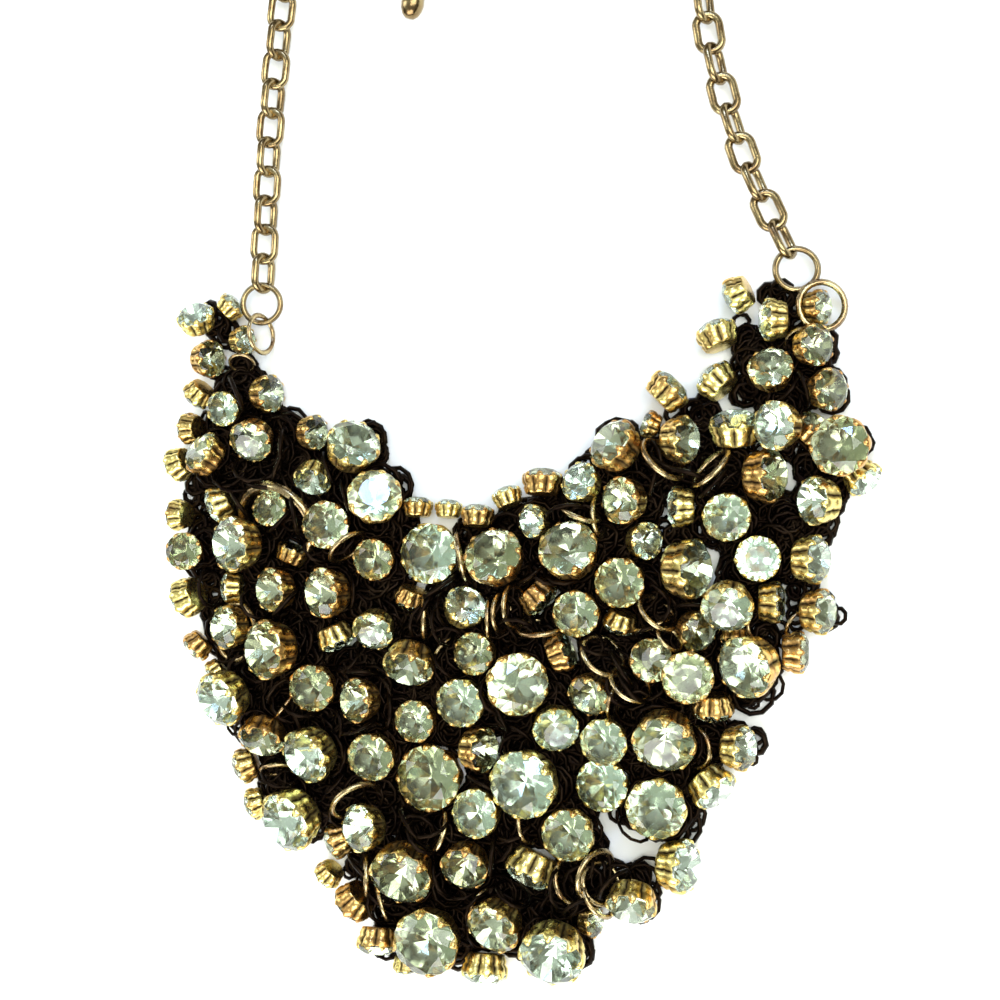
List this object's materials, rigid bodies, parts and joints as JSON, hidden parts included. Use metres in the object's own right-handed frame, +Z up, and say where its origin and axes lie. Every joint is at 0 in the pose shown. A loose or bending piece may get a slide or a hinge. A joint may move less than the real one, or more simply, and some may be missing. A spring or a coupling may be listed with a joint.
{
  "type": "bib necklace",
  "caption": "Bib necklace of round crystals in crown settings, heaped on strands between two cable chains with a clasp, an extender chain and an end drop.",
  "frame": {"origin": "on the surface that the necklace lies on, under the middle of its bounding box", "axes": "+X to the right of the necklace seen from above, +Y from the bib's tip towards the clasp, +Z up, out of the crystals"},
  "size_m": [0.1172, 0.2296, 0.0123],
  "materials": {
    "setting_brass": "polished antique brass with brown patina in the flutes",
    "chain_brass": "dark antique brass wire, worn bright on the outside",
    "crystal": "faceted clear glass with a foiled back"
  },
  "bodies": {
    "root": {"setting_01": "setting_brass", "crystal_01": "crystal", "setting_02": "setting_brass", "crystal_02": "crystal", "setting_03": "setting_brass", "crystal_03": "crystal", "setting_04": "setting_brass", "crystal_04": "crystal", "setting_05": "setting_brass", "crystal_05": "crystal", "setting_06": "setting_brass", "crystal_06": "crystal", "setting_07": "setting_brass", "crystal_07": "crystal", "setting_08": "setting_brass", "crystal_08": "crystal", "setting_09": "setting_brass", "crystal_09": "crystal", "setting_10": "setting_brass", "crystal_10": "crystal", "setting_11": "setting_brass", "crystal_11": "crystal", "setting_12": "setting_brass", "crystal_12": "crystal", "setting_13": "setting_brass", "crystal_13": "crystal", "setting_14": "setting_brass", "crystal_14": "crystal", "setting_15": "setting_brass", "crystal_15": "crystal", "setting_16": "setting_brass", "crystal_16": "crystal", "strand_left_edge": "setting_brass", "strand_left_flank": "setting_brass", "strand_left_inner": "setting_brass", "strand_left_shoulder": "setting_brass", "strand_left_column": "setting_brass", "strand_left_bib": "setting_brass", "strand_neckline": "setting_brass", "strand_centre_left": "setting_brass", "strand_centre_right": "setting_brass", "strand_centre_foot": "setting_brass", "strand_right_bib": "setting_brass", "strand_right_shoulder": "setting_brass", "strand_right_collar": "setting_brass", "strand_right_edge": "setting_brass", "strand_right_flank": "setting_brass", "strand_right_foot": "setting_brass", "strand_left_foot": "setting_brass", "chain_left": "chain_brass", "chain_right": "chain_brass", "extender_chain": "chain_brass", "extender_drop": "chain_brass", "clasp": "chain_brass"}
  },
  "joints": []
}
